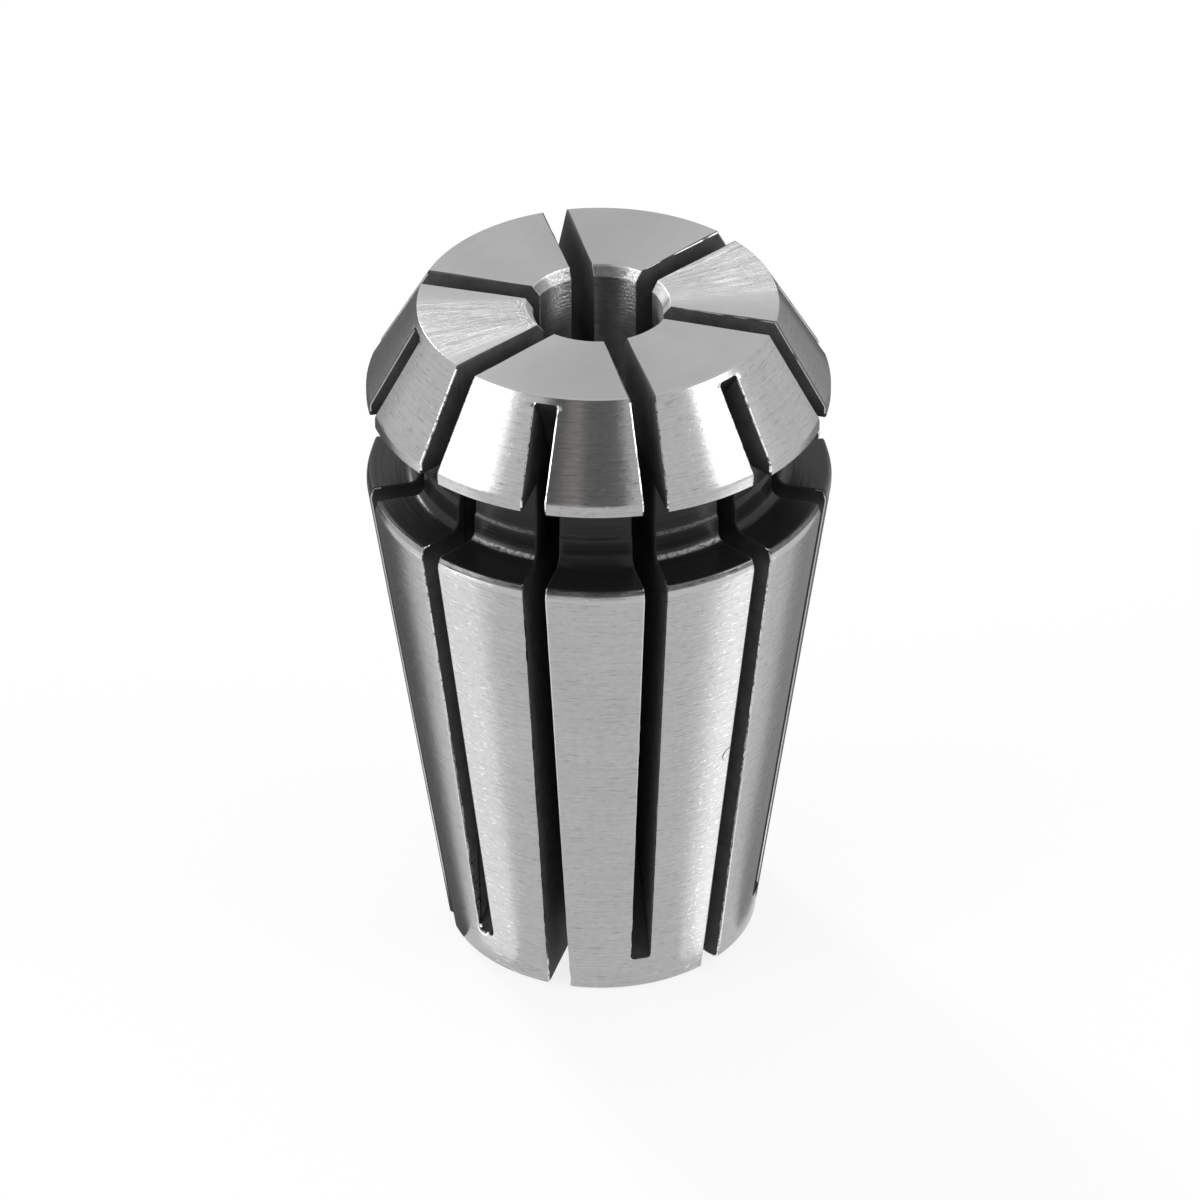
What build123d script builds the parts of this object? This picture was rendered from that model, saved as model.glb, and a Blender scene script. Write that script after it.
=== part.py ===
from build123d import *
import math
import os

# Spring collet of size 11 with a 1/8 inch bore: one hardened steel piece, slit from both ends.
# Frame: millimetres, +Z along the axis towards the front face. The origin is the centre of
# the rear face, so the collet stands on Z = 0. One front slot lies along +X.

# Sizes

# Lengths along the axis
overall_length = 18.0            # rear face to front face
taper_length = 13.33             # rear face to the shoulder of the groove
nose_length = 2.55               # back of the nose ring to the front face
nose_land_width = 0.33           # cylindrical band at the back of the nose cone

# Seating taper, which the spindle's cone holds
taper_major_diameter = 11.5
taper_half_angle = 8.0           # degrees
taper_edge_height = 0.27         # eased edge at the large end of the taper
taper_edge_depth = 0.08
rear_edge_break = 0.1

# Extraction groove, which the clamping nut's ring hooks into
neck_diameter = 9.0
neck_corner_radius = 0.15

# Nose cone, which the clamping nut presses on
nose_diameter = 11.4
nose_half_angle = 30.0           # degrees
nose_edge_break = 0.04

# Bore, which holds the tool shank
bore_diameter = 3.175
bore_mouth_width = 0.19          # chamfer at the front, measured on the face
bore_mouth_depth = 0.25          # the same chamfer, measured down the bore
relief_diameter = 3.8            # the bore is opened out at the rear, clear of the shank
relief_depth = 5.0               # up to the start of its cone
relief_cone_half_angle = 59.0    # degrees
relief_edge_break = 0.15

# Slots, sawn by turns from the front and from the rear
slot_pairs = 6
front_slot_width = 0.52
rear_slot_width = 0.56
front_slot_land = 1.0            # metal left at the rear end of a front slot
rear_slot_land = 0.15            # metal left between a rear slot and the front face
saw_radius = 20.0                # each slot runs out on the arc of the saw
saw_corner_chamfer = 0.1         # bevelled tips of the saw's teeth
saw_breakthrough = 0.4           # how far the saw's rim passes inside the bore wall
saw_overrun = 1.0                # how far a cut starts outside the metal

# Derived sizes

bore_radius = bore_diameter / 2
relief_radius = relief_diameter / 2
neck_radius = neck_diameter / 2
nose_radius = nose_diameter / 2
taper_major_radius = taper_major_diameter / 2
taper_slope = math.tan(math.radians(taper_half_angle))
nose_slope = math.tan(math.radians(nose_half_angle))

taper_top = taper_length - taper_edge_height
rear_radius = taper_major_radius - taper_top * taper_slope
nose_back = overall_length - nose_length
cone_start = nose_back + nose_land_width
face_radius = nose_radius - (overall_length - cone_start) * nose_slope

relief_end = relief_depth + (relief_radius - bore_radius) / math.tan(math.radians(relief_cone_half_angle))

slot_pitch = 360 / slot_pairs
saw_reach = bore_radius - saw_breakthrough
saw_offset = saw_reach + saw_radius


def saw_rise(radius):
    # Axial distance from the saw's centre to its rim, at a radius of the collet
    return math.sqrt(saw_radius**2 - (saw_offset - radius) ** 2)


# A front slot ends on the taper, and a rear slot ends on the nose cone.
front_slot_end_radius = rear_radius + front_slot_land * taper_slope
front_saw_height = front_slot_land + saw_rise(front_slot_end_radius)
rear_slot_end = overall_length - rear_slot_land
rear_slot_end_radius = face_radius + rear_slot_land * nose_slope
rear_saw_height = rear_slot_end - saw_rise(rear_slot_end_radius)

# Each cutter is the saw's disc at the end of its travel, and the straight
# channel that it leaves behind it. It lies in the XZ plane.
with BuildPart() as front_cutter:
    with BuildSketch(Plane.XZ):
        with Locations((saw_offset, front_saw_height)):
            Circle(saw_radius)
    extrude(amount=front_slot_width / 2, both=True)
    chamfer(front_cutter.edges().filter_by(GeomType.CIRCLE), saw_corner_chamfer)
    with BuildSketch(Plane.XZ):
        with Locations((saw_reach, front_saw_height)):
            Rectangle(
                saw_radius,
                overall_length + saw_overrun - front_saw_height,
                align=(Align.MIN, Align.MIN),
            )
    extrude(amount=front_slot_width / 2, both=True)

with BuildPart() as rear_cutter:
    with BuildSketch(Plane.XZ):
        with Locations((saw_offset, rear_saw_height)):
            Circle(saw_radius)
    extrude(amount=rear_slot_width / 2, both=True)
    chamfer(rear_cutter.edges().filter_by(GeomType.CIRCLE), saw_corner_chamfer)
    with BuildSketch(Plane.XZ):
        with Locations((saw_reach, rear_saw_height)):
            Rectangle(
                saw_radius,
                rear_saw_height + saw_overrun,
                align=(Align.MIN, Align.MAX),
            )
    extrude(amount=rear_slot_width / 2, both=True)

with BuildPart() as collet:
    with BuildSketch(Plane.XZ):
        with BuildLine():
            Polyline(
                (relief_radius + relief_edge_break, 0),
                (rear_radius - rear_edge_break, 0),
                (rear_radius + rear_edge_break * taper_slope, rear_edge_break),
                (taper_major_radius, taper_top),
                (taper_major_radius - taper_edge_depth, taper_length),
                (neck_radius, taper_length),
                (neck_radius, nose_back),
                (nose_radius - nose_edge_break, nose_back),
                (nose_radius, nose_back + nose_edge_break),
                (nose_radius, cone_start),
                (face_radius, overall_length),
                (bore_radius + bore_mouth_width, overall_length),
                (bore_radius, overall_length - bore_mouth_depth),
                (bore_radius, relief_end),
                (relief_radius, relief_depth),
                (relief_radius, relief_edge_break),
                close=True,
            )
        make_face()
    revolve(axis=Axis.Z)

    # The groove's inner corner is rounded by the turning tool.
    neck_corner = collet.edges().filter_by(GeomType.CIRCLE).filter_by(
        lambda edge: abs(edge.radius - neck_radius) < 1e-6 and abs(edge.center().Z - taper_length) < 1e-6
    )
    fillet(neck_corner, neck_corner_radius)

    with PolarLocations(0, slot_pairs):
        add(front_cutter.part, mode=Mode.SUBTRACT)
    with PolarLocations(0, slot_pairs, start_angle=slot_pitch / 2):
        add(rear_cutter.part, mode=Mode.SUBTRACT)

collet.part.label = "collet"

os.makedirs("parts", exist_ok=True)
export_step(collet.part, "parts/collet.step")
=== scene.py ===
import math

import bmesh
import bpy
from mathutils import Matrix, Vector, noise


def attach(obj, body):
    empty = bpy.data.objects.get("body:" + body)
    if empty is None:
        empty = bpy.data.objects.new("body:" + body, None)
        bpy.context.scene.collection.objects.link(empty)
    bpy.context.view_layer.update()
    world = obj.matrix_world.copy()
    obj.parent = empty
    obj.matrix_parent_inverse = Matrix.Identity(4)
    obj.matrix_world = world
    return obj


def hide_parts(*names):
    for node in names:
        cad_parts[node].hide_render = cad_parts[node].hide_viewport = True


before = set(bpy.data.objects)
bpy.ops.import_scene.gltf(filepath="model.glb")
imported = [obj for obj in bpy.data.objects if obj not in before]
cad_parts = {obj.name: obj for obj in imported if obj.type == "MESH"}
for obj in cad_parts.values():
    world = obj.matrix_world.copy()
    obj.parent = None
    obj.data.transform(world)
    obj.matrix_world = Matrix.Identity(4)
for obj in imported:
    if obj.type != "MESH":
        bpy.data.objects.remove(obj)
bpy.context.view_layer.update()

mm = 0.001


# Sizes in millimetres, as the solid has them. A front kerf is open at the front face,
# a rear kerf at the rear face, and both run out on the arc of the saw.
collet = {
    "length": 18.0,
    "shoulder": 13.33,
    "taperRadius": 5.75,
    "taperAngle": 8.0,
    "taperEdge": (0.08, 0.27),      # radial depth and height of the eased edge
    "rearBreak": 0.1,
    "neckRadius": 4.5,
    "neckFillet": 0.28,
    "neckStep": (0.05, 14.0, 0.09),  # the upper part is that much slimmer, from this height, over this length
    "noseRadius": 5.7,
    "noseBack": 15.45,
    "coneStart": 15.78,
    "noseAngle": 30.0,
    "cornerRound": 0.05,            # turned corners of the nose
    "faceRound": 0.008,
    "boreRadius": 1.5875,
    "mouth": (0.19, 0.25),          # width on the face and depth down the bore
    "reliefRadius": 1.9,
    "reliefDepth": 5.0,
    "reliefCone": 59.0,
    "reliefBreak": 0.15,
    "pairs": 6,
    "frontKerf": (0.49, 0.57),      # width at its closed end and at its open end
    "rearKerf": (0.55, 0.56),
    "frontEnd": 1.0,                # height of the closed end on the taper
    "rearEnd": 17.85,               # and on the nose cone
    "sawRadius": 20.0,
    "sawInside": 0.4,               # the saw's rim passes this far inside the bore's wall
    "sawCorner": 0.07,              # rounding of the saw's rim,
    "cornerTurns": (30, 60, 90),    # and its steps in degrees
    "arcCuts": 24,
    "arcTries": 80,                 # rounds in which the arc's outer end is closed in on
    "columns": 12,                  # across half of the metal between two front kerfs
    "row": 0.09,                    # longest step along the outer profile
    "boreRow": 0.3,
    "near": 1e-5,                   # heights closer than this are one,
    "joined": 1e-4,                 # and so are corners
}

# the broken edges along the kerfs
edges = {
    "width": 0.045,
    "boreShare": 0.3,               # its share in the bore,
    "boreFade": 1.4,                # which it reaches over this much of the radius
    "middleDepth": 0.29,            # shares of the width: how deep an edge's middle lies,
    "borderDepth": 0.71,            # how deep its border on the kerf's wall lies,
    "calm": 4,                      # and where the next column stands
    "jag": 0.006,                   # how far a broken edge wanders
    "endJag": 2.4,                  # that much more on the two end faces,
    "endReach": 0.05,               # this near to them
    "jagPitch": 5.0,
    "jagShift": 3,                  # keeps the two edges of a kerf from matching
    "sway": (1.3, 7, 0.5),          # longer waves: pitch, shift and share
    "tears": (                      # kerf and side of it, in degrees, then lowest and highest point, depth
        (-120, -1, 0.9, 3.6, 0.16),
        (-120, -1, 3.6, 7.5, 0.04),
        (-90, -1, 0.0, 2.6, 0.12),
        (-90, -1, 3.2, 9.2, 0.05),
        (-90, -1, 10.9, 12.2, 0.22),
        (-90, 1, 0.0, 1.3, 0.25),
        (-60, -1, 1.0, 2.6, 0.12),
        (-60, -1, 5.0, 9.5, 0.05),
        (-30, 1, 1.0, 8.0, 0.03),
    ),
    "tearStart": 0.2,               # a tear starts this far below its lowest point,
    "tearSlope": 3,                 # and grows this fast
    "tearSide": 0.12,               # share of its depth that it opens sideways
    "tearBias": 0.35,               # how much more is torn than whole
}

# where each finish lies, in the order of the material slots
finishes = {
    "slots": ("ground", "faced", "bored", "walls", "groove", "rims", "floors"),
    "front": -75,                   # direction of the side facing the camera, where broken edges get the bright rim finish as a painted highlight, in degrees,
    "bright": 66,                   # how far that goes,
    "outline": (75, 80),            # and where edges near the outline take the dark walls' finish as painted shade
    "cleanKerfs": (0, 60),          # kerfs with a clean edge on the face, on their farther side,
    "cleanReach": 15,               # that many degrees from the kerf
    "grooveReach": (0.05, 0.1),     # dark edges go on below the shoulder and above the nose's back,
    "grooveLand": (0.25, 0.005),    # but not on the taper: its width and rise there
    "faceReach": 0.06,              # dark edges on the face,
    "innerReach": 0.04,             # and beside the bore
    "shoulderReach": 0.02,
    "flat": 0.001,
}

turned, wall, floor, broken = range(4)        # parts of the surface
floorRow, outerTip, boreTip = 1, 2, 3         # roles at a kerf's floor, and its two ends
edgeMiddle, edgeBorder = 1, 2                 # the rows of a broken edge
smoothLimits = {(turned, turned): 15, (floor, floor): 40, (broken, broken): 60}   # in degrees

taperSlope = math.tan(math.radians(collet["taperAngle"]))
noseSlope = math.tan(math.radians(collet["noseAngle"]))
taperTop = collet["shoulder"] - collet["taperEdge"][1]
rearRadius = collet["taperRadius"] - taperTop * taperSlope
faceRadius = collet["noseRadius"] - (collet["length"] - collet["coneStart"]) * noseSlope
mouthRadius = collet["boreRadius"] + collet["mouth"][0]
mouthEnd = collet["length"] - collet["mouth"][1]
middle = (collet["boreRadius"] + collet["neckRadius"]) / 2    # between the bore and the outer surface
halfPitch = math.pi / collet["pairs"]
sawCentre = collet["boreRadius"] - collet["sawInside"] + collet["sawRadius"]


def sawRise(radius, lift=0.0):
    return math.sqrt((collet["sawRadius"] - lift) ** 2 - (sawCentre - radius) ** 2)


# what differs between the two kerfs: their outer surface, where they end on it, which way from
# the saw's centre the arc lies, and on which side of the kerf half a finger stands
kerfs = {
    "frontKerf": {
        "side": 1,
        "outer": lambda height: rearRadius + height * taperSlope,
        "end": collet["frontEnd"],
        "way": -1,
        "turn": 0.0,
        "hand": 1,
    },
    "rearKerf": {
        "side": 2,
        "outer": lambda height: faceRadius + (collet["length"] - height) * noseSlope,
        "end": collet["rearEnd"],
        "way": 1,
        "turn": halfPitch,
        "hand": -1,
    },
}
for kerf in kerfs.values():
    kerf["saw"] = kerf["end"] - kerf["way"] * sawRise(kerf["outer"](kerf["end"]))


def halfKerf(name, height):
    closed, opened = collet[name]
    along = height / collet["length"]
    if name == "rearKerf":
        along = 1 - along
    return (closed + (opened - closed) * along) / 2


def arcHeight(kerf, radius, lift=collet["sawCorner"]):
    return kerf["saw"] + kerf["way"] * sawRise(radius, lift)


def outerEnd(kerf, lift=collet["sawCorner"]):
    # where the arc meets the outer surface
    height = kerf["end"]
    for _ in range(collet["arcTries"]):
        height = arcHeight(kerf, kerf["outer"](height), lift)
    return kerf["outer"](height), height


def isCut(kerf, radius, height):
    limit = outerEnd(kerf)[1] if radius > middle else arcHeight(kerf, collet["boreRadius"])
    return (height - limit) * kerf["way"] <= collet["near"]


def edgeWidth(radius):
    share = min(1.0, max(0.0, (radius - middle + edges["boreFade"] / 2) / edges["boreFade"]))
    return edges["width"] * (edges["boreShare"] + (1 - edges["boreShare"]) * share)


def profileCorners():
    # anticlockwise: radius, height, rounding, segments of the rounding
    small = collet["cornerRound"]
    neck = collet["neckRadius"]
    bore = collet["boreRadius"]
    relief = collet["reliefRadius"]
    stepDepth, stepHeight, stepLength = collet["neckStep"]
    reliefEnd = collet["reliefDepth"] + (relief - bore) / math.tan(math.radians(collet["reliefCone"]))
    return [
        (relief + collet["reliefBreak"], 0, 0, 0),
        (rearRadius - collet["rearBreak"], 0, 0, 0),
        (rearRadius + collet["rearBreak"] * taperSlope, collet["rearBreak"], 0, 0),
        (*outerEnd(kerfs["frontKerf"]), 0, 0),
        (collet["taperRadius"], taperTop, small, 2),
        (collet["taperRadius"] - collet["taperEdge"][0], collet["shoulder"], small, 3),
        (neck, collet["shoulder"], collet["neckFillet"], 9),
        (neck, stepHeight, small, 3),
        (neck - stepDepth, stepHeight + stepLength, small, 3),
        (neck - stepDepth, collet["noseBack"], small, 3),
        (collet["noseRadius"], collet["noseBack"], small, 4),
        (collet["noseRadius"], collet["coneStart"], small, 3),
        (*outerEnd(kerfs["rearKerf"]), 0, 0),
        (faceRadius, collet["length"], collet["faceRound"], 2),
        (mouthRadius, collet["length"], 0, 0),
        (bore, mouthEnd, 0, 0),
        (bore, arcHeight(kerfs["rearKerf"], bore), 0, 0),
        (bore, arcHeight(kerfs["frontKerf"], bore), 0, 0),
        (bore, reliefEnd, 0, 0),
        (relief, collet["reliefDepth"], 0, 0),
        (relief, collet["reliefBreak"], 0, 0),
    ]


def drawProfile(bm):
    corners = profileCorners()
    points = [bm.verts.new((radius, 0, height)) for radius, height, _, _ in corners]
    for index, point in enumerate(points):
        bm.edges.new((points[index - 1], point))
    for point, (_, _, rounding, segments) in zip(points, corners):
        if rounding:
            bmesh.ops.bevel(bm, geom=[point], offset=rounding, offset_type="OFFSET", affect="VERTICES",
                            segments=segments, profile=0.5, material=-1)
    for edge in list(bm.edges):
        step = collet["row"] if max(vert.co.x for vert in edge.verts) > middle else collet["boreRow"]
        cuts = math.ceil(edge.calc_length() / step) - 1
        if cuts > 0:
            bmesh.ops.subdivide_edges(bm, edges=[edge], cuts=cuts)


def outwardAt(vert):
    # the way the surface faces there, as radius and height
    inside = vert.normal.x * vert.co.x + vert.normal.y * vert.co.y
    across = math.copysign(math.hypot(vert.normal.x, vert.normal.y), inside)
    return Vector((across, vert.normal.z)).normalized()


def setColumns(bm):
    # moves the columns beside the kerfs into place, and sinks the edges that a kerf breaks
    side = bm.verts.layers.int["side"]
    worn = bm.verts.layers.int["worn"]
    last = collet["columns"]
    for vert in bm.verts:
        radius = math.hypot(vert.co.x, vert.co.y)
        height = vert.co.z
        index = round(math.atan2(vert.co.y, vert.co.x) / halfPitch * last)
        width = edgeWidth(radius)
        steps = {}
        for name, kerf in kerfs.items():
            sunk = width * edges["middleDepth"] if isCut(kerf, radius, height) else 0.0
            steps[name] = [math.asin((halfKerf(name, height) + away) / radius)
                           for away in (sunk, width, width * edges["calm"])]
        near = steps["frontKerf"]
        far = [halfPitch - step for step in steps["rearKerf"]]
        if index <= 2:
            angle = near[index]
        elif index >= last - 2:
            angle = far[last - index]
        else:
            share = (index - 2) / (last - 4)
            angle = near[2] * (1 - share) + far[2] * share
        if index in (0, last):
            kerf = kerfs["frontKerf" if index == 0 else "rearKerf"]
            vert[side] = kerf["side"]
            if isCut(kerf, radius, height):
                vert[worn] = edgeMiddle
                outward = outwardAt(vert)
                radius -= outward.x * edgeWidth(radius) * edges["middleDepth"]
                height -= outward.y * edgeWidth(radius) * edges["middleDepth"]
        vert.co = (radius * math.cos(angle), radius * math.sin(angle), height)


def pullOut(bm, chain):
    # extrudes a chain, and pairs each new corner with the one that it comes from
    made = bmesh.ops.extrude_edge_only(bm, edges=chain)["geom"]
    verts = [item for item in made if isinstance(item, bmesh.types.BMVert)]
    faces = [item for item in made if isinstance(item, bmesh.types.BMFace)]
    grown = []
    for vert in verts:
        source = next(edge.other_vert(vert) for edge in vert.link_edges if edge.other_vert(vert) not in verts)
        grown.append((vert, source))
    outer = [edge for vert in verts for edge in vert.link_edges if edge.other_vert(vert) in verts]
    return grown, list(dict.fromkeys(outer)), faces


def closeSide(bm, name):
    # the wall of one kerf with its broken edges, and its floor as far as the kerf's middle
    part = bm.faces.layers.int["part"]
    side, role, worn = (bm.verts.layers.int[key] for key in ("side", "role", "worn"))
    kerf = kerfs[name]
    bm.normal_update()

    def put(vert, radius, lateral, height):
        angle = kerf["turn"] + kerf["hand"] * math.asin(lateral / radius)
        vert.co = (radius * math.cos(angle), radius * math.sin(angle), height)

    border = [edge for edge in bm.edges if all(vert[side] == kerf["side"] for vert in edge.verts)]
    cutEdges = [edge for edge in border if all(vert[worn] == edgeMiddle for vert in edge.verts)]
    wholeVerts = {vert for edge in border if edge not in cutEdges for vert in edge.verts}
    for edge in cutEdges:
        for vert in edge.verts:
            if vert in wholeVerts:
                vert[role] = outerTip if math.hypot(vert.co.x, vert.co.y) > middle else boreTip

    grown, brokenEdges, faces = pullOut(bm, cutEdges)
    for face in faces:
        face[part] = broken
    for vert, source in grown:
        vert[side] = 0
        radius = math.hypot(source.co.x, source.co.y)
        depth = edgeWidth(radius) * edges["borderDepth"]
        if source[role]:
            radius += depth if source[role] == boreTip else -depth
            height = arcHeight(kerf, radius)
            vert[role] = floorRow
            vert[worn] = 0
        else:
            outward = outwardAt(source)
            radius -= outward.x * depth
            height = source.co.z - outward.y * depth
            vert[role] = 0
            vert[worn] = edgeBorder
        put(vert, radius, halfKerf(name, height), height)

    # the saw's arc, from one end to the other, closes the wall
    chord = bm.edges.new([vert for vert, source in grown if source[role]])
    made = bmesh.ops.subdivide_edges(bm, edges=[chord], cuts=collet["arcCuts"])["geom_inner"]
    arcVerts = [item for item in made if isinstance(item, bmesh.types.BMVert)]
    arcEdges = list(dict.fromkeys(edge for vert in arcVerts for edge in vert.link_edges))
    for vert in arcVerts:
        radius = math.hypot(vert.co.x, vert.co.y)
        height = arcHeight(kerf, radius)
        put(vert, radius, halfKerf(name, height), height)
        vert[role] = floorRow
    for face in bmesh.ops.edgeloop_fill(bm, edges=brokenEdges + arcEdges)["faces"]:
        face[part] = wall

    # the saw's rounded corner, then the floor and the turned surface beyond the kerf's ends
    chain = []
    for edge in bm.edges:
        beyond = all(vert[side] == kerf["side"] for vert in edge.verts)
        beyond = beyond and not all(vert[worn] for vert in edge.verts)
        if beyond or min(vert[role] for vert in edge.verts) == floorRow:
            chain.append(edge)
    corner = collet["sawCorner"]
    rings = [(corner * (1 - math.sin(math.radians(turn))), corner * (1 - math.cos(math.radians(turn))))
             for turn in collet["cornerTurns"]]
    for lift, shrink in (*rings, (0.0, None)):
        grown, chain, faces = pullOut(bm, chain)
        for vert, source in grown:
            vert[role] = source[role]
            vert[worn] = 0
            vert[side] = 0
            radius = math.hypot(source.co.x, source.co.y)
            height = source.co.z
            if source[role] == floorRow:
                height = arcHeight(kerf, radius, lift)
            elif source[role] == outerTip:
                radius, height = outerEnd(kerf, lift)
            elif source[role] == boreTip:
                radius = collet["boreRadius"]
                height = arcHeight(kerf, radius, lift)
            put(vert, radius, 0.0 if shrink is None else halfKerf(name, height) - shrink, height)
        for face in faces:
            face[part] = floor if any(vert[role] == floorRow for vert in face.verts) else turned
    for vert in bm.verts:
        vert[role] = 0


def tornDepth(turn, hand, height):
    depth = 0.0
    for kerfTurn, kerfHand, low, high, most in edges["tears"]:
        if round(turn) == kerfTurn and hand == kerfHand:
            share = min(1.0, max(0.0, (height - low + edges["tearStart"]) * edges["tearSlope"]),
                        max(0.0, (high - height) * edges["tearSlope"]))
            depth = max(depth, most * share)
    return depth


def wearEdges(bm):
    # ragged edges along the kerfs, more so where the saw broke out
    worn = bm.verts.layers.int["worn"]
    swayPitch, swayShift, swayShare = edges["sway"]
    for vert in bm.verts:
        if not vert[worn]:
            continue
        radius = math.hypot(vert.co.x, vert.co.y)
        turn = math.atan2(vert.co.y, vert.co.x)
        kerfTurn = round(turn / halfPitch) * halfPitch
        hand = 1 if turn > kerfTurn else -1
        away = Vector((-math.sin(kerfTurn), math.cos(kerfTurn), 0)) * hand
        out = Vector((math.cos(kerfTurn), math.sin(kerfTurn), 0))
        seat = vert.co + away * edges["jagShift"]
        fine = noise.noise(seat * edges["jagPitch"])
        broad = noise.noise(seat * swayPitch + Vector((swayShift, 0, 0)))
        depth = tornDepth(math.degrees(kerfTurn), hand, vert.co.z) if radius > middle else 0.0
        if vert[worn] == edgeMiddle:
            onEnd = vert.co.z < edges["endReach"] or vert.co.z > collet["length"] - edges["endReach"]
            jag = edges["jag"] * (edges["endJag"] if onEnd else 1)
            vert.co += away * (fine * (jag + depth * edges["tearSide"]) + broad * jag * swayShare)
        elif depth:
            vert.co -= out * max(0.0, fine + edges["tearBias"]) * depth


def finishOf(face, part, worn):
    centre = face.calc_center_median()
    radius = math.hypot(centre.x, centre.y)
    height = centre.z
    angle = math.degrees(math.atan2(centre.y, centre.x))
    turn = abs(angle - finishes["front"])
    nearest, farthest = finishes["outline"]
    below, above = finishes["grooveReach"]
    landWidth, landRise = finishes["grooveLand"]
    onFace = height > collet["length"] - finishes["faceReach"]
    inGroove = collet["shoulder"] - below < height < collet["noseBack"] + above
    offLand = radius < collet["taperRadius"] - landWidth or height > collet["shoulder"] + landRise
    clean = any(0 < angle - kerfTurn < finishes["cleanReach"] for kerfTurn in finishes["cleanKerfs"])
    besideEdge = any(vert[worn] == edgeMiddle for vert in face.verts)
    edged = face[part] == broken or face[part] == turned and besideEdge
    if face[part] == broken and onFace and clean and radius > mouthRadius:
        return "ground"
    outside = radius > middle or height > collet["length"] - finishes["innerReach"]
    if edged and (inGroove and offLand or onFace) and outside:
        return "walls"
    if face[part] == broken and radius < middle:
        return "bored"
    # broken edges beyond that side keep the ground finish; within it they take the bright rim finish, a
    # painted highlight
    if face[part] == broken and turn > finishes["bright"]:
        return "ground"
    # painted shade: edges near the outline take the dark walls' finish
    if edged and nearest < turn < farthest:
        return "walls"
    if edged and height > collet["noseBack"] and radius > middle and turn < finishes["bright"]:
        return "rims"
    if face[part] != turned:
        return {wall: "walls", floor: "floors", broken: "rims"}[face[part]]
    if radius < middle and finishes["flat"] < height < collet["length"] - finishes["flat"]:
        return "bored"
    if collet["shoulder"] - finishes["shoulderReach"] < height < collet["noseBack"] + finishes["flat"]:
        return "groove"
    if height < finishes["flat"] or height > collet["length"] - finishes["flat"]:
        return "faced"
    return "ground"


def buildCollet():
    bm = bmesh.new()
    drawProfile(bm)
    # half a finger, from the middle of a front kerf to the middle of a rear one
    bmesh.ops.spin(bm, geom=bm.verts[:] + bm.edges[:], cent=(0, 0, 0), axis=(0, 0, 1), dvec=(0, 0, 0),
                   angle=halfPitch, steps=collet["columns"], use_duplicate=False)
    bm.faces.layers.int.new("part")
    for key in ("side", "role", "worn"):
        bm.verts.layers.int.new(key)
    bmesh.ops.recalc_face_normals(bm, faces=bm.faces[:])
    bm.normal_update()
    setColumns(bm)
    for name in kerfs:
        closeSide(bm, name)

    bmesh.ops.mirror(bm, geom=bm.verts[:] + bm.edges[:] + bm.faces[:], matrix=Matrix.Identity(4),
                     merge_dist=collet["near"], axis="Y")
    bmesh.ops.spin(bm, geom=bm.verts[:] + bm.edges[:] + bm.faces[:], cent=(0, 0, 0), axis=(0, 0, 1),
                   dvec=(0, 0, 0), angle=-2 * halfPitch * (collet["pairs"] - 1), steps=collet["pairs"] - 1,
                   use_duplicate=True)
    bmesh.ops.remove_doubles(bm, verts=bm.verts[:], dist=collet["joined"])
    bmesh.ops.recalc_face_normals(bm, faces=bm.faces[:])
    wearEdges(bm)

    part = bm.faces.layers.int["part"]
    worn = bm.verts.layers.int["worn"]
    for face in bm.faces:
        face.material_index = finishes["slots"].index(finishOf(face, part, worn))
        face.smooth = True
    for edge in bm.edges:
        codes = tuple(sorted(face[part] for face in edge.link_faces))
        edge.smooth = edge.calc_face_angle(0) < math.radians(smoothLimits.get(codes, 0))
    bmesh.ops.scale(bm, vec=(mm, mm, mm), verts=bm.verts[:])
    return bm


def addObject(name, bm, *materials):
    mesh = bpy.data.meshes.new(name)
    bm.to_mesh(mesh)
    bm.free()
    made = bpy.data.objects.new(name, mesh)
    bpy.context.collection.objects.link(made)
    for material in materials:
        mesh.materials.append(material)
    return made


class Signal:
    # a node's output that takes part in plain sums
    def __init__(self, shader, socket):
        self.shader = shader
        self.socket = socket

    def other(self, output):
        # another output of the same node
        return Signal(self.shader, self.socket.node.outputs[output])

    def sum(self, operation, first, second):
        return self.shader.node("ShaderNodeMath", {"operation": operation}, {0: first, 1: second})

    def __add__(self, other):
        return self.sum("ADD", self, other)

    def __radd__(self, other):
        return self.sum("ADD", other, self)

    def __sub__(self, other):
        return self.sum("SUBTRACT", self, other)

    def __rsub__(self, other):
        return self.sum("SUBTRACT", other, self)

    def __mul__(self, other):
        return self.sum("MULTIPLY", self, other)

    def __rmul__(self, other):
        return self.sum("MULTIPLY", other, self)

    def __truediv__(self, other):
        return self.sum("DIVIDE", self, other)

    def __rtruediv__(self, other):
        return self.sum("DIVIDE", other, self)

    def __pow__(self, other):
        return self.sum("POWER", self, other)


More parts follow.
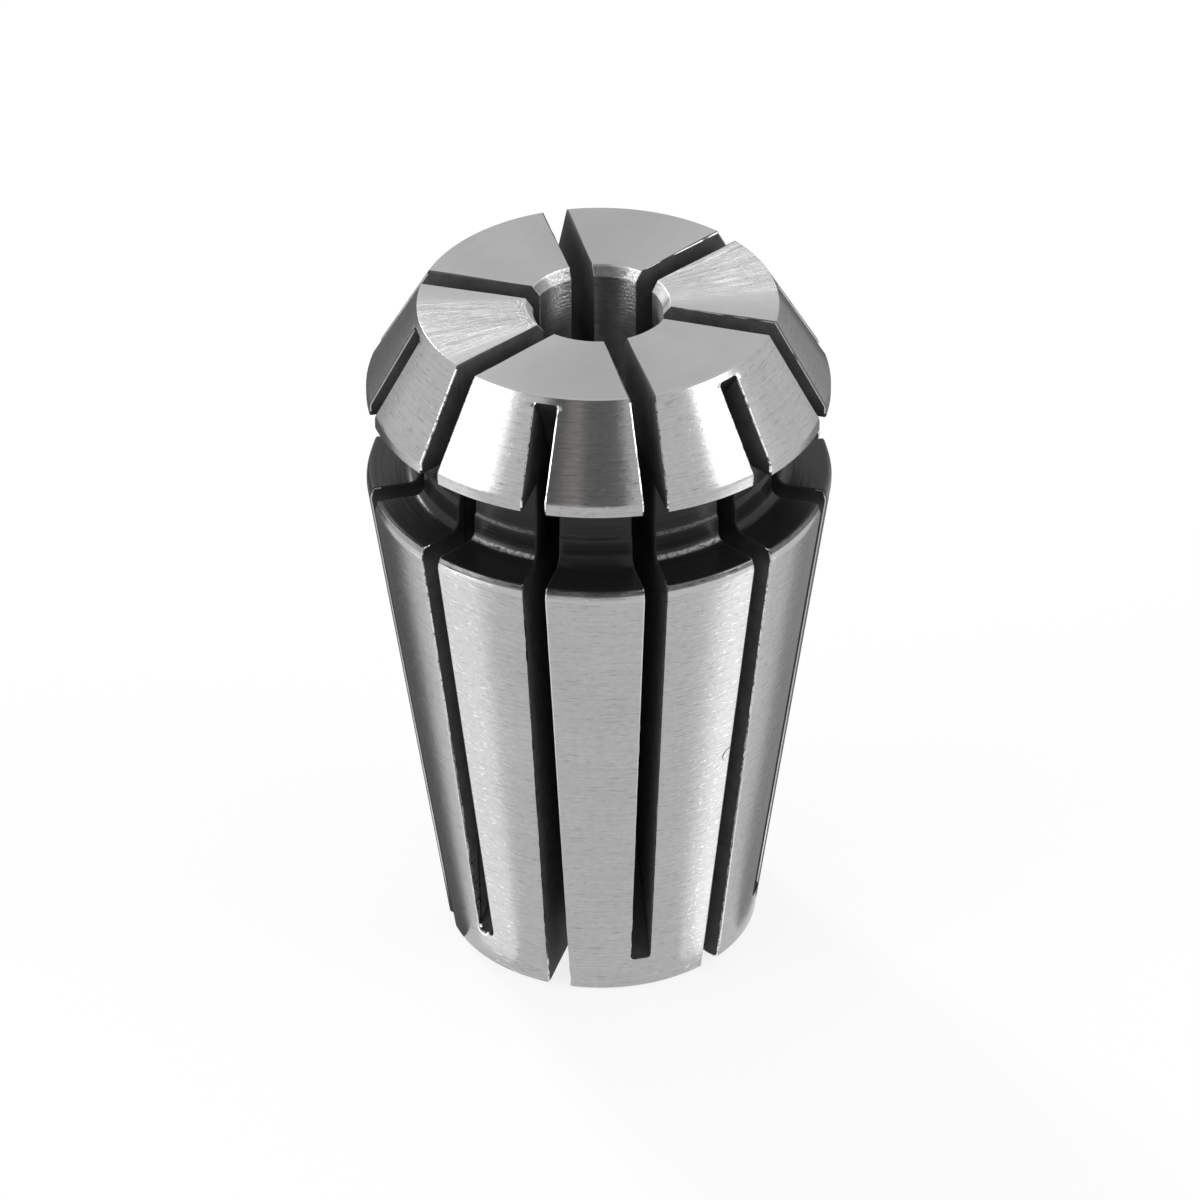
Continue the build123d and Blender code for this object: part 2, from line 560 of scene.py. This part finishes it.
class Shader:
    # the nodes of a material or of the world
    def __init__(self, owner):
        self.owner = owner
        owner.use_nodes = True
        self.tree = owner.node_tree
        self.tree.nodes.clear()

    def node(self, kind, settings=None, values=None, output=0):
        made = self.tree.nodes.new(kind)
        for key, value in (settings or {}).items():
            setattr(made, key, value)
        for key, value in (values or {}).items():
            if isinstance(value, Signal):
                self.tree.links.new(value.socket, made.inputs[key])
            else:
                made.inputs[key].default_value = value
        return Signal(self, made.outputs[output])

    def places(self):
        # Object coordinates in millimetres, and their parts
        place = self.node("ShaderNodeTexCoord", output="Object")
        place = self.node("ShaderNodeVectorMath", {"operation": "SCALE"}, {0: place, "Scale": 1 / mm})
        x = self.node("ShaderNodeSeparateXYZ", values={0: place})
        return place, (x, x.other("Y"), x.other("Z"))

    def cloud(self, where, scale, detail, roughness):
        return self.node("ShaderNodeTexNoise", values={"Vector": where, "Scale": scale, "Detail": detail,
                                                       "Roughness": roughness})

    def streaks(self, across, along, pattern):
        # a cloud of marks with that length across and along
        long, high, seed, detail, roughness = pattern
        where = self.node("ShaderNodeCombineXYZ", values={0: across / long, 1: along / high, 2: seed})
        return self.cloud(where, 1.0, detail, roughness)

    def ramp(self, value, low, high, fromValue=0.0, toValue=1.0):
        return self.node("ShaderNodeMapRange", {"interpolation_type": "SMOOTHSTEP"},
                         {"Value": value, "From Min": low, "From Max": high,
                          "To Min": fromValue, "To Max": toValue})

    def band(self, value, start, full, still, end):
        return self.ramp(value, start, full) * self.ramp(value, end, still)

    def blend(self, share, first, second):
        # the Mix node's sockets for colours are the seventh and the eighth
        return self.node("ShaderNodeMix", {"data_type": "RGBA"}, {0: share, 6: first, 7: second}, output=2)

    def bump(self, height, depth):
        return self.node("ShaderNodeBump", values={"Height": height, "Distance": depth * mm, "Strength": 1.0})

    def close(self, surface, kind="ShaderNodeOutputMaterial"):
        out = self.tree.nodes.new(kind)
        self.tree.links.new(surface.socket, out.inputs[0])
        return self.owner

    def finish(self, values):
        return self.close(self.node("ShaderNodeBsdfPrincipled", values=values))


def newShader(name):
    return Shader(bpy.data.materials.new(name))


def grey(level):
    return (level, level, level, 1.0)


def roundTurned(shader, parts):
    # distance from the axis, and the way round it in millimetres at the nose ring
    x, y, _ = parts
    radius = (x * x + y * y) ** 0.5
    turn = shader.node("ShaderNodeMath", {"operation": "ARCTAN2"}, {0: y, 1: x})
    return radius, turn * collet["noseRadius"]


def sector(shader, parts, direction, full, ends):
    # 1 within that many degrees of a direction, fading to 0
    x, y, _ = parts
    angle = math.radians(direction)
    along = (x * math.cos(angle) + y * math.sin(angle)) / (x * x + y * y) ** 0.5
    return shader.ramp(along, math.cos(math.radians(ends)), math.cos(math.radians(full)))


def weighed(weights, marks):
    return sum(mark * weights[name] for name, mark in marks.items())


def mottled(shader, cloud, colour, spread):
    darkest, lightest = spread
    return shader.blend(cloud, grey(colour * darkest), grey(colour * lightest))


def turnedFinish(shader, steel, colour, height, values):
    # a quarter turn draws the reflections out across the tool's marks, which run round the axis
    return shader.finish({"Base Color": colour, "Roughness": steel["roughness"],
                          "Anisotropic": steel["anisotropy"], "Anisotropic Rotation": 0.25,
                          "Normal": shader.bump(height, steel["depth"]), **values})


# In the finishes below, marks drawn out along the turning have their length and height in
# millimetres, then seed, detail and roughness. A plain cloud has its scale, detail and roughness.
# "Shown" says at which levels of it the marks start and are full.
ground = {
    "colour": 0.46,
    "roughness": 0.24,
    "anisotropy": 0.8,
    "depth": 0.0045,
    "noseDepth": 0.35,              # share of it on the nose
    "dash": (0.3, 0.08, 0, 2, 0.55),  # the wheel's marks
    "dashShown": (0.56, 0.72),
    "dullShown": (0.42, 0.28),
    "line": (1 / 0.35, 0.05, 3, 2, 0.5),
    "nick": (0.12, 0.09, 9, 1, 0.5),
    "nickShown": (0.72, 0.8),
    "scratch": (0.6, 0.045, 7, 1, 0.5),
    "scratchShown": (0.6, 0.76),
    "haze": (0.5, 2, 0.5),
    "fine": (7.0, 3, 0.65),
    "scuffs": ((-111, 8), (-38, 8)),  # middle and half width in degrees,
    "scuffFull": 0.4,               # share of that which is full,
    "scuffFade": 0.4,               # and how they fade in below the shoulder
    "stroke": (0.26, 0.085, 4, 1, 0.5),
    "strokeLean": 0.12,
    "strokeShown": (0.58, 0.7),
    "plain": 0.9,                   # brightness, and what the marks add to it
    "brightness": {"line": 0.22, "dash": 0.06, "dull": -0.16, "haze": 0.12, "fine": 0.24, "scratch": -0.22},
    "relief": {"dash": 0.6, "dull": -0.3, "line": 0.12, "nick": 1.2, "rubbed": 1.0, "fine": 0.15},
    "rubbedColour": 0.9,
    "rubbedShare": {"rubbed": 0.36, "nick": 0.12},
    "scaled": (0.09, 0.15, 0.24, 0.265),  # the eased edge keeps some scale: it starts, is full, still is and
    "scaledLoss": 0.62,                   # ends that far above the taper's top, and costs this brightness
    "edgeHighlight": (-0.06, 0.0, 0.08, 0.13),      # and a highlight is painted on the edge below it
    "edgeHighlightGain": 0.5,
    "quiet": (-137, 10, 19, 0.7),   # less of both on one finger: middle, full, ends, share
}
hair = {                            # a hair of swarf that clings to the taper
    "turn": -33.8,
    "height": 7.17,
    "curl": 0.2,
    "halfWidth": 0.03,
    "darkness": 0.7,
    "outward": (1.0, 2.0),          # only on this side of the axis
}


def hairOfSwarf(shader, parts):
    x, y, z = parts
    turn = math.radians(hair["turn"])
    aside = y * math.cos(turn) - x * math.sin(turn)
    outward = x * math.cos(turn) + y * math.sin(turn)
    rise = z - hair["height"]
    off = (aside * aside + rise * rise) ** 0.5 - hair["curl"]
    drawn = shader.ramp(off * off, hair["halfWidth"] ** 2, 0.0) * shader.ramp(rise, -hair["curl"], 0.0)
    return drawn * shader.ramp(outward, *hair["outward"])


def groundSteel():
    shader = newShader("ground steel")
    place, parts = shader.places()
    z = parts[2]
    _, around = roundTurned(shader, parts)
    dashes = shader.streaks(around, z, ground["dash"])
    lines = shader.streaks(around, z, ground["line"])
    fine = shader.cloud(place, *ground["fine"])
    strokes = shader.streaks(around, z + around * ground["strokeLean"], ground["stroke"])
    scuffed = sum(sector(shader, parts, turn, half * ground["scuffFull"], half)
                  for turn, half in ground["scuffs"])
    scuffed = scuffed * shader.ramp(z, collet["shoulder"], collet["shoulder"] - ground["scuffFade"])
    dash = shader.ramp(dashes, *ground["dashShown"])
    dull = shader.ramp(dashes, *ground["dullShown"])
    rubbed = {
        "rubbed": shader.ramp(strokes, *ground["strokeShown"]) * scuffed,
        "nick": shader.ramp(shader.streaks(around, z, ground["nick"]), *ground["nickShown"]),
    }
    level = ground["plain"] + weighed(ground["brightness"], {
        "line": lines - 0.5,
        "dash": dash,
        "dull": dull,
        "haze": shader.cloud(place, *ground["haze"]) - 0.5,
        "fine": fine - 0.5,
        "scratch": shader.ramp(shader.streaks(around, z, ground["scratch"]), *ground["scratchShown"]),
    })
    *quietSector, quietShare = ground["quiet"]
    loud = 1.0 - sector(shader, parts, *quietSector) * quietShare
    # painted highlight: a band brightened on the eased edge, fainter on one finger
    edgeHighlight = shader.band(z, *(taperTop + rise for rise in ground["edgeHighlight"])) * ground["edgeHighlightGain"] * (fine + 0.5)
    scaled = shader.band(z, *(taperTop + rise for rise in ground["scaled"])) * ground["scaledLoss"]
    level = level + (edgeHighlight - scaled) * loud - hairOfSwarf(shader, parts) * hair["darkness"]
    colour = shader.blend(level, grey(0.0), grey(ground["colour"]))
    colour = shader.blend(weighed(ground["rubbedShare"], rubbed), colour, grey(ground["rubbedColour"]))
    height = weighed(ground["relief"], {"dash": dash, "dull": dull, "line": lines, "fine": fine, **rubbed})
    height = height * shader.ramp(z, collet["shoulder"], collet["noseBack"], 1.0, ground["noseDepth"])
    return turnedFinish(shader, ground, colour, height, {"Metallic": 1.0})


faced = {
    "colour": 0.46,
    "roughness": 0.32,
    "anisotropy": 0.88,
    "depth": 0.004,
    "ring": (0.07, 1 / 0.15, 0, 2, 0.6),
    "ringHeight": 0.15,
    "tornAndHighlit": ((-149, 20, 0.026), (40, 21, 0.022)),   # middle and half width in degrees, depth
    "tornFull": 0.5,                # share of the half width that is full
    "ray": (0.22, 1 / 0.55, 5, 4, 0.7),
    "streakHighlight": (0.13, 1 / 0.45, 11, 2, 0.6),
    "streakHighlightShown": (0.56, 0.7),
    "patch": (0.9, 2, 0.5),         # the painted streak highlights lie in patches
    "patchShown": (0.44, 0.62),
    "streakHighlightColour": 0.95,
    "streakHighlightShare": 0.6,
    "haze": (0.6, 3, 0.6),
    "crumb": (8.0, 2, 0.6),
    "crumbReach": (0.4, 0.05),      # none this far from the mouth, and full this near
    "crumbSector": (-149, 12, 24),  # middle, full, ends
    "crumbHeight": 12.0,
    "rimHighlightReach": (0.09, 0.04),       # the same from the outer edge
    "rimHighlightSector": (-75, 40, 55),
    "plain": 0.92,
    "brightness": {"ring": 0.08, "haze": 0.22, "ray": 1.2, "rimHighlight": 1.1},
}


def facedSteel():
    shader = newShader("faced steel")
    place, parts = shader.places()
    radius, around = roundTurned(shader, parts)
    rings = shader.streaks(radius, around, faced["ring"]) - 0.5
    # the cut tore the metal on two of the fingers, which breaks the rings into short rays; their brightness
    # there is a painted highlight in the fans of reflection
    rays = shader.streaks(around, radius, faced["ray"]) - 0.5
    deep = 0.0
    tornAndHighlit = 0.0
    for turn, half, depth in faced["tornAndHighlit"]:
        share = sector(shader, parts, turn, half * faced["tornFull"], half)
        deep = share * (depth / faced["depth"]) + deep
        tornAndHighlit = share + tornAndHighlit
    # painted highlights: bright streaks in patches on the two torn fingers
    streakHighlights = shader.ramp(shader.streaks(around, radius, faced["streakHighlight"]), *faced["streakHighlightShown"])
    streakHighlights = streakHighlights * shader.ramp(shader.cloud(place, *faced["patch"]), *faced["patchShown"]) * tornAndHighlit
    # crumbled metal at the bore's mouth, and a highlight painted along the outer edge at the front
    crumbs = shader.cloud(place, *faced["crumb"]) - 0.5
    crumbs = crumbs * shader.ramp(radius, *(mouthRadius + reach for reach in faced["crumbReach"]))
    crumbs = crumbs * sector(shader, parts, *faced["crumbSector"])
    rimHighlight = shader.ramp(radius, *(faceRadius - reach for reach in faced["rimHighlightReach"]))
    level = faced["plain"] + weighed(faced["brightness"], {
        "ring": rings,
        "haze": shader.cloud(place, *faced["haze"]) - 0.5,
        "ray": rays * tornAndHighlit,
        "rimHighlight": rimHighlight * sector(shader, parts, *faced["rimHighlightSector"]),
    })
    colour = shader.blend(level, grey(0.0), grey(faced["colour"]))
    colour = shader.blend(streakHighlights * faced["streakHighlightShare"], colour, grey(faced["streakHighlightColour"]))
    height = (rings * faced["ringHeight"] + rays) * (deep + 1.0) + crumbs * faced["crumbHeight"]
    return turnedFinish(shader, faced, colour, height, {"Metallic": 1.0})


bored = {
    "colour": 0.33,
    "mouthColour": 0.47,
    "mouthFade": 0.02,
    "roughness": 0.42,
    "anisotropy": 0.9,
    "depth": 0.02,
    "ring": (1 / 0.9, 0.09, 0, 3, 0.6),
    "stain": (1 / 0.6, 1 / 1.2, 4, 3, 0.6),
    "bright": (1 / 0.35, 2.0, 1, 2, 0.5),
    "brightShown": (0.45, 0.6),
    "spark": (0.2, 0.05, 6, 2, 0.6),
    "sparkShown": (0.56, 0.7),
    "speck": (0.07, 0.06, 8, 1, 0.5),
    "speckShown": (0.55, 0.66),
    "plain": 0.5,
    "brightness": {"ring": 0.5, "stain": 0.7, "mouthStain": 0.8, "bright": 0.25, "spark": 0.9},
    "tornAndHighlit": ((140, 15), (73, 16)),  # torn metal beside the far slot, with painted glints on it: middle and half width in degrees
    "tornReach": (1.4, 0.7),        # none this far below the face, and full this near
    "tornDepth": 2.0,
    "glintColour": 0.95,
    "glintShare": {"speck": 0.8, "patch": 0.5},
    "patchShown": (0.5, 1.1),
    "rimHighlightReach": (0.05, 0.02),
    "rimHighlightShare": 0.5,
}


def boredSteel():
    shader = newShader("bored steel")
    _, parts = shader.places()
    z = parts[2]
    _, around = roundTurned(shader, parts)
    rings = shader.streaks(around, z, bored["ring"])
    stain = shader.streaks(around, z, bored["stain"])
    bright = shader.ramp(shader.streaks(around, z, bored["bright"]), *bored["brightShown"])
    spark = shader.ramp(shader.streaks(around, z, bored["spark"]), *bored["sparkShown"])
    mouth = shader.ramp(z, mouthEnd - bored["mouthFade"], mouthEnd + bored["mouthFade"])
    tornAndHighlit = sum(sector(shader, parts, turn, 0, half) for turn, half in bored["tornAndHighlit"])
    tornAndHighlit = tornAndHighlit * shader.ramp(z, *(collet["length"] - reach for reach in bored["tornReach"]))
    level = bored["plain"] + weighed(bored["brightness"], {
        "ring": rings,
        "stain": stain - 0.5,
        "mouthStain": (stain - 0.5) * mouth,
        "bright": bright,
        "spark": bright * spark,
    })
    # painted glints: specks and patches blended towards near-white beside the kerfs
    shine = tornAndHighlit * weighed(bored["glintShare"], {
        "speck": shader.ramp(shader.streaks(around, z, bored["speck"]), *bored["speckShown"]),
        "patch": shader.ramp(spark + stain, *bored["patchShown"]),
    })
    # painted highlight: a bright line along the top of the mouth's chamfer
    rimHighlight = shader.ramp(z, *(collet["length"] - reach for reach in bored["rimHighlightReach"]))
    steel = shader.blend(mouth, grey(bored["colour"]), grey(bored["mouthColour"]))
    colour = shader.blend(level, grey(0.0), steel)
    colour = shader.blend(shine + rimHighlight * bored["rimHighlightShare"], colour, grey(bored["glintColour"]))
    height = (rings - 0.5) * (tornAndHighlit * bored["tornDepth"] + 1.0)
    return turnedFinish(shader, bored, colour, height, {"Metallic": 1.0})


scale = {
    "colour": 0.07,
    "spread": (0.5, 1.6),           # shares of the colour, from dark to light
    "roughness": 0.62,
    "specular": 0.15,
    "depth": 0.006,
    "mottle": (3.0, 4, 0.6),
    "grooveShade": 0.75,             # painted shade: the walls and floors are darker where the kerfs cross the groove
    "grooveFade": 0.7,
}


def scaleSteel(name, share):
    shader = newShader(name)
    place, parts = shader.places()
    mottle = shader.cloud(place, *scale["mottle"])
    shadedInGroove = shader.band(parts[2], collet["shoulder"] - scale["grooveFade"], collet["shoulder"],
                         collet["noseBack"], collet["noseBack"] + scale["grooveFade"])
    colour = mottled(shader, mottle, scale["colour"] * share, scale["spread"])
    colour = shader.blend(shadedInGroove * scale["grooveShade"], colour, grey(0.0))
    return shader.finish({"Base Color": colour, "Roughness": scale["roughness"],
                          "Specular IOR Level": scale["specular"],
                          "Normal": shader.bump(mottle, scale["depth"])})


groove = {
    "colour": 0.01,
    "spread": (0.5, 1.6),
    "roughness": 0.26,
    "specular": 0.26,
    "anisotropy": 0.5,
    "depth": 0.01,
    "ring": (1 / 0.35, 0.1, 0, 3, 0.6),
    # painted highlights on the neck's fillet and on its step: the heights where each starts, is full, still
    # is, ends, and how much
    "worn": ((13.36, 13.4, 13.44, 13.48, 0.2), (13.99, 14.01, 14.07, 14.1, 0.05)),
    "highlightSectors": ((-104, 13, 17), (-46, 13, 17)),
    "highlightColour": 0.5,
    "highlightShare": 3.0,
    "speckle": (0.14, 0.06, 0, 3, 0.65),
    "speckleShown": (0.3, 0.62),
}


def grooveSteel():
    shader = newShader("scale in the groove")
    _, parts = shader.places()
    z = parts[2]
    radius, around = roundTurned(shader, parts)
    rings = shader.streaks(around, z + radius, groove["ring"])
    # painted highlights, only on two fingers on either side of the front, which alone make the bright rings
    # metallic
    worn = sum(shader.band(z, *heights) * most for *heights, most in groove["worn"])
    worn = worn * sum(sector(shader, parts, *spread) for spread in groove["highlightSectors"])
    worn = worn * shader.ramp(shader.streaks(around, z, groove["speckle"]), *groove["speckleShown"])
    colour = mottled(shader, rings, groove["colour"], groove["spread"])
    colour = shader.blend(worn * groove["highlightShare"], colour, grey(groove["highlightColour"]))
    return turnedFinish(shader, groove, colour, rings,
                        {"Metallic": worn, "Specular IOR Level": groove["specular"]})


rims = {
    "colours": (0.22, 0.82),        # whole and worn
    "roughness": 0.32,
    "wear": (8.0, 2, 0.6),
    "wearShown": (0.38, 0.5),
}


def rimSteel():
    shader = newShader("broken edges")
    place, _ = shader.places()
    whole, bare = rims["colours"]
    wear = shader.ramp(shader.cloud(place, *rims["wear"]), *rims["wearShown"])
    return shader.finish({"Base Color": shader.blend(wear, grey(whole), grey(bare)), "Metallic": 1.0,
                          "Roughness": rims["roughness"]})


# the materials are in the order of finishes["slots"]
# the floors' quarter share of the scale's colour is painted shade deep in the kerfs
body = addObject("collet_body", buildCollet(), groundSteel(), facedSteel(), boredSteel(),
                 scaleSteel("scale and painted shade on the kerfs' walls", 1.0), grooveSteel(), rimSteel(),
                 scaleSteel("scale and painted shade on the kerfs' floors", 0.25))
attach(body, "root")
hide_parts("collet")
print("collet:", len(body.data.polygons), "faces")


# a curl of swarf left where a kerf runs out
swarf = {
    "turn": -120.6,
    "radius": 4.1,
    "height": 1.17,
    "curl": 0.19,
    "wire": 0.032,
    "wireSides": 8,
    "sweep": 150.0,
    "sweepSteps": 20,
    "bead": 0.05,
    "beadPlace": (-0.45, 0.02),     # share of the curl, and sideways
    "colour": 0.85,
    "roughness": 0.5,
}


def buildSwarf():
    bm = bmesh.new()

    def turnBy(verts, degrees, axis):
        matrix = Matrix.Rotation(math.radians(degrees), 3, axis)
        bmesh.ops.rotate(bm, verts=verts, cent=(0, 0, 0), matrix=matrix)

    ring = bmesh.ops.create_circle(bm, segments=swarf["wireSides"], radius=swarf["wire"])["verts"]
    turnBy(ring, 90, "X")
    bmesh.ops.translate(bm, verts=ring, vec=(swarf["curl"], 0, 0))
    turnBy(ring, -90 - swarf["sweep"] / 2, "Z")
    start = bm.edges[:]
    made = bmesh.ops.spin(bm, geom=bm.verts[:] + bm.edges[:], cent=(0, 0, 0), axis=(0, 0, 1), dvec=(0, 0, 0),
                          angle=math.radians(swarf["sweep"]), steps=swarf["sweepSteps"],
                          use_duplicate=False)["geom_last"]
    bmesh.ops.contextual_create(bm, geom=start)
    bmesh.ops.contextual_create(bm, geom=[item for item in made if isinstance(item, bmesh.types.BMEdge)])
    bead = bmesh.ops.create_icosphere(bm, subdivisions=2, radius=swarf["bead"])["verts"]
    beadShare, beadSide = swarf["beadPlace"]
    bmesh.ops.translate(bm, verts=bead, vec=(swarf["curl"] * beadShare, beadSide, 0))
    bmesh.ops.recalc_face_normals(bm, faces=bm.faces[:])
    for face in bm.faces:
        face.smooth = True
    # stood up, then set on the kerf's floor
    turnBy(bm.verts[:], 90, "X")
    turnBy(bm.verts[:], 90, "Z")
    bmesh.ops.translate(bm, verts=bm.verts[:], vec=(swarf["radius"], 0, swarf["height"]))
    turnBy(bm.verts[:], swarf["turn"], "Z")
    bmesh.ops.scale(bm, vec=(mm, mm, mm), verts=bm.verts[:])
    return bm


curl = addObject("swarf", buildSwarf(), newShader("swarf").finish({
    "Base Color": grey(swarf["colour"]), "Metallic": 1.0, "Roughness": swarf["roughness"]}))
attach(curl, "root")
print("swarf:", len(curl.data.polygons), "faces")


studio = {
    "floorSize": 6.0,
    "floorColour": 0.8,
    "floorGlow": 0.82,              # share of plain white that the camera sees in it
    "floorShine": 0.97,             # and that polished metal sees
    "worldGlow": 0.9,
    "aim": Vector((0, 0, 0.009)),   # the collet's middle
}


def stagePlane(name, size, matrix, material):
    bm = bmesh.new()
    bmesh.ops.create_grid(bm, x_segments=1, y_segments=1, size=0.5)
    bmesh.ops.scale(bm, vec=(size[0], size[1], 1), verts=bm.verts[:])
    bmesh.ops.transform(bm, matrix=matrix, verts=bm.verts[:])
    plane = addObject(name, bm, material)
    return plane


def sight(shader):
    # what the camera sees, and what polished metal and glass see
    seen = shader.node("ShaderNodeLightPath", output="Is Camera Ray")
    return seen, seen.other("Is Glossy Ray") + seen.other("Is Transmission Ray")


def floorPaper():
    shader = newShader("floor paper")
    paper = shader.node("ShaderNodeBsdfDiffuse", values={"Color": grey(studio["floorColour"])})
    glow = shader.node("ShaderNodeEmission", values={"Color": grey(1.0), "Strength": 1.0})
    seen, mirrored = sight(shader)
    share = seen * studio["floorGlow"] + mirrored * studio["floorShine"]
    return shader.close(shader.node("ShaderNodeMixShader", values={0: share, 1: paper, 2: glow}))


def cardPaper(level, tint):
    shader = newShader("card")
    return shader.close(shader.node("ShaderNodeEmission", values={"Color": (*tint, 1.0), "Strength": level}))


stagePlane("floor", (studio["floorSize"], studio["floorSize"]), Matrix.Identity(4), floorPaper())

world = bpy.data.worlds.new("studio")
bpy.context.scene.world = world
sky = Shader(world)
seen, mirrored = sight(sky)
strength = studio["worldGlow"] + (seen + mirrored) * (1.0 - studio["worldGlow"])
sky.close(sky.node("ShaderNodeBackground", values={"Color": grey(1.0), "Strength": strength}),
          "ShaderNodeOutputWorld")

camera = {
    "turn": 16.24,
    "place": (0.1694, 0.1244),      # distance from the axis, and height
    "pitch": 34.21,
    "roll": -0.401,
    "sensor": 36,
    "lens": 246.174,
    "clip": (0.01, 20),
}
cameraSide = Matrix.Rotation(math.radians(camera["turn"]), 4, "Z")


# directions are given from the collet: turn from the camera's side, to the right, and height, in degrees
def towards(turn, height):
    angle = math.radians(turn + camera["turn"] - 90)
    level = math.cos(math.radians(height))
    return Vector((math.cos(angle) * level, math.sin(angle) * level, math.sin(math.radians(height))))


def panel(turns, heights, distance):
    # a place whose -Z looks back at the collet, and the size of a panel there that fills those directions
    height = sum(heights) / 2
    away = towards(sum(turns) / 2, height)
    turnTo = away.to_track_quat("Z", "Y").to_matrix().to_4x4()
    matrix = Matrix.Translation(studio["aim"] + away * distance) @ turnTo
    wide = 2 * distance * math.tan(math.radians(abs(turns[1] - turns[0])) / 2)
    wide = wide * math.cos(math.radians(height))
    tall = 2 * distance * math.tan(math.radians(heights[1] - heights[0]) / 2)
    return matrix, wide, tall


lamps = {
    # turns, heights, distance, glow, where the floor's white is 1
    "left softbox": ((-82, -56), (-4, 36), 0.4, 3.3),
    "left spill": ((-56, -50.5), (-4, 36), 0.4, 1.5),
    "right strip": ((58, 82), (9, 32), 0.4, 4.0),
    "right high": ((78, 96), (22, 42), 0.4, 1.4),
    "rear left": ((-154, -142), (30, 42), 0.45, 33.0),
}
for name, (turns, heights, distance, glow) in lamps.items():
    matrix, wide, tall = panel(turns, heights, distance)
    light = bpy.data.lights.new(name, "AREA")
    light.shape = "RECTANGLE"
    light.size = wide
    light.size_y = tall
    light.energy = glow * wide * tall * math.pi
    lamp = bpy.data.objects.new(name, light)
    lamp.matrix_world = matrix
    lamp.visible_camera = False
    bpy.context.collection.objects.link(lamp)


def onlyReflected(card):
    card.visible_camera = False
    card.visible_diffuse = False
    card.visible_shadow = False
    card.visible_transmission = False


cards = {
    # turns, heights, distance, level, tint
    "left card": ((-31, -17), (-14, 76), 0.26, 0.11, (1, 1, 1)),
    "warm card": ((-17, -11), (-14, 76), 0.26, 0.36, (1, 0.9, 0.82)),
    "front card": ((-11, 15), (-14, 76), 0.26, 0.18, (1, 1, 1)),
}
for name, (turns, heights, distance, level, tint) in cards.items():
    matrix, wide, tall = panel(turns, heights, distance)
    onlyReflected(stagePlane(name, (wide, tall), matrix, cardPaper(level, tint)))

floorCards = {
    # height and level, then corners in millimetres, to the right and back from the collet's middle
    # the two rear cards are dark sheets standing in for the shaded floor behind the collet, seen only in the
    # metal
    "rear shadow card": (0.05, 0.12, (
        (-4.0, -1.8), (-7.4, 0.1), (-16.6, 5.2), (-150, 75), (-150, 160), (74, 160), (4.4, 0))),
    "right rear shadow card": (0.05, 0.36, (
        (3.8, -1.8), (6.8, -0.5), (16.8, 5.2), (150, 84), (150, 160), (74, 160), (4.4, 0))),
    "left floor card": (0.04, 1.6, ((-2.6, -3.5), (-3.6, -2.4), (-38, 5), (-38, -21))),
    "right floor card": (0.05, 2.1, ((2.8, -3.4), (3.3, -2.8), (38, -1.6), (38, -17))),
    "right floor fringe": (0.05, 1.45, ((2.4, -3.7), (2.8, -3.4), (38, -17), (38, -24))),
}
for name, (lift, level, corners) in floorCards.items():
    bm = bmesh.new()
    bm.faces.new([bm.verts.new(cameraSide @ Vector((x * mm, y * mm, lift * mm))) for x, y in corners])
    card = addObject(name, bm, cardPaper(level, (1, 1, 1)))
    onlyReflected(card)
print("studio:", len(lamps), "lamps and", len(cards) + len(floorCards), "cards")

lens = bpy.data.cameras.new("camera")
lens.sensor_width = camera["sensor"]
lens.lens = camera["lens"]
lens.clip_start, lens.clip_end = camera["clip"]
eye = bpy.data.objects.new("camera", lens)
back, up = camera["place"]
look = (cameraSide @ Matrix.Rotation(math.radians(90 - camera["pitch"]), 4, "X")
        @ Matrix.Rotation(math.radians(camera["roll"]), 4, "Z"))
eye.matrix_world = Matrix.Translation(towards(0, 0) * back + Vector((0, 0, up))) @ look
bpy.context.collection.objects.link(eye)
bpy.context.scene.camera = eye
bpy.context.scene.view_settings.view_transform = "Standard"
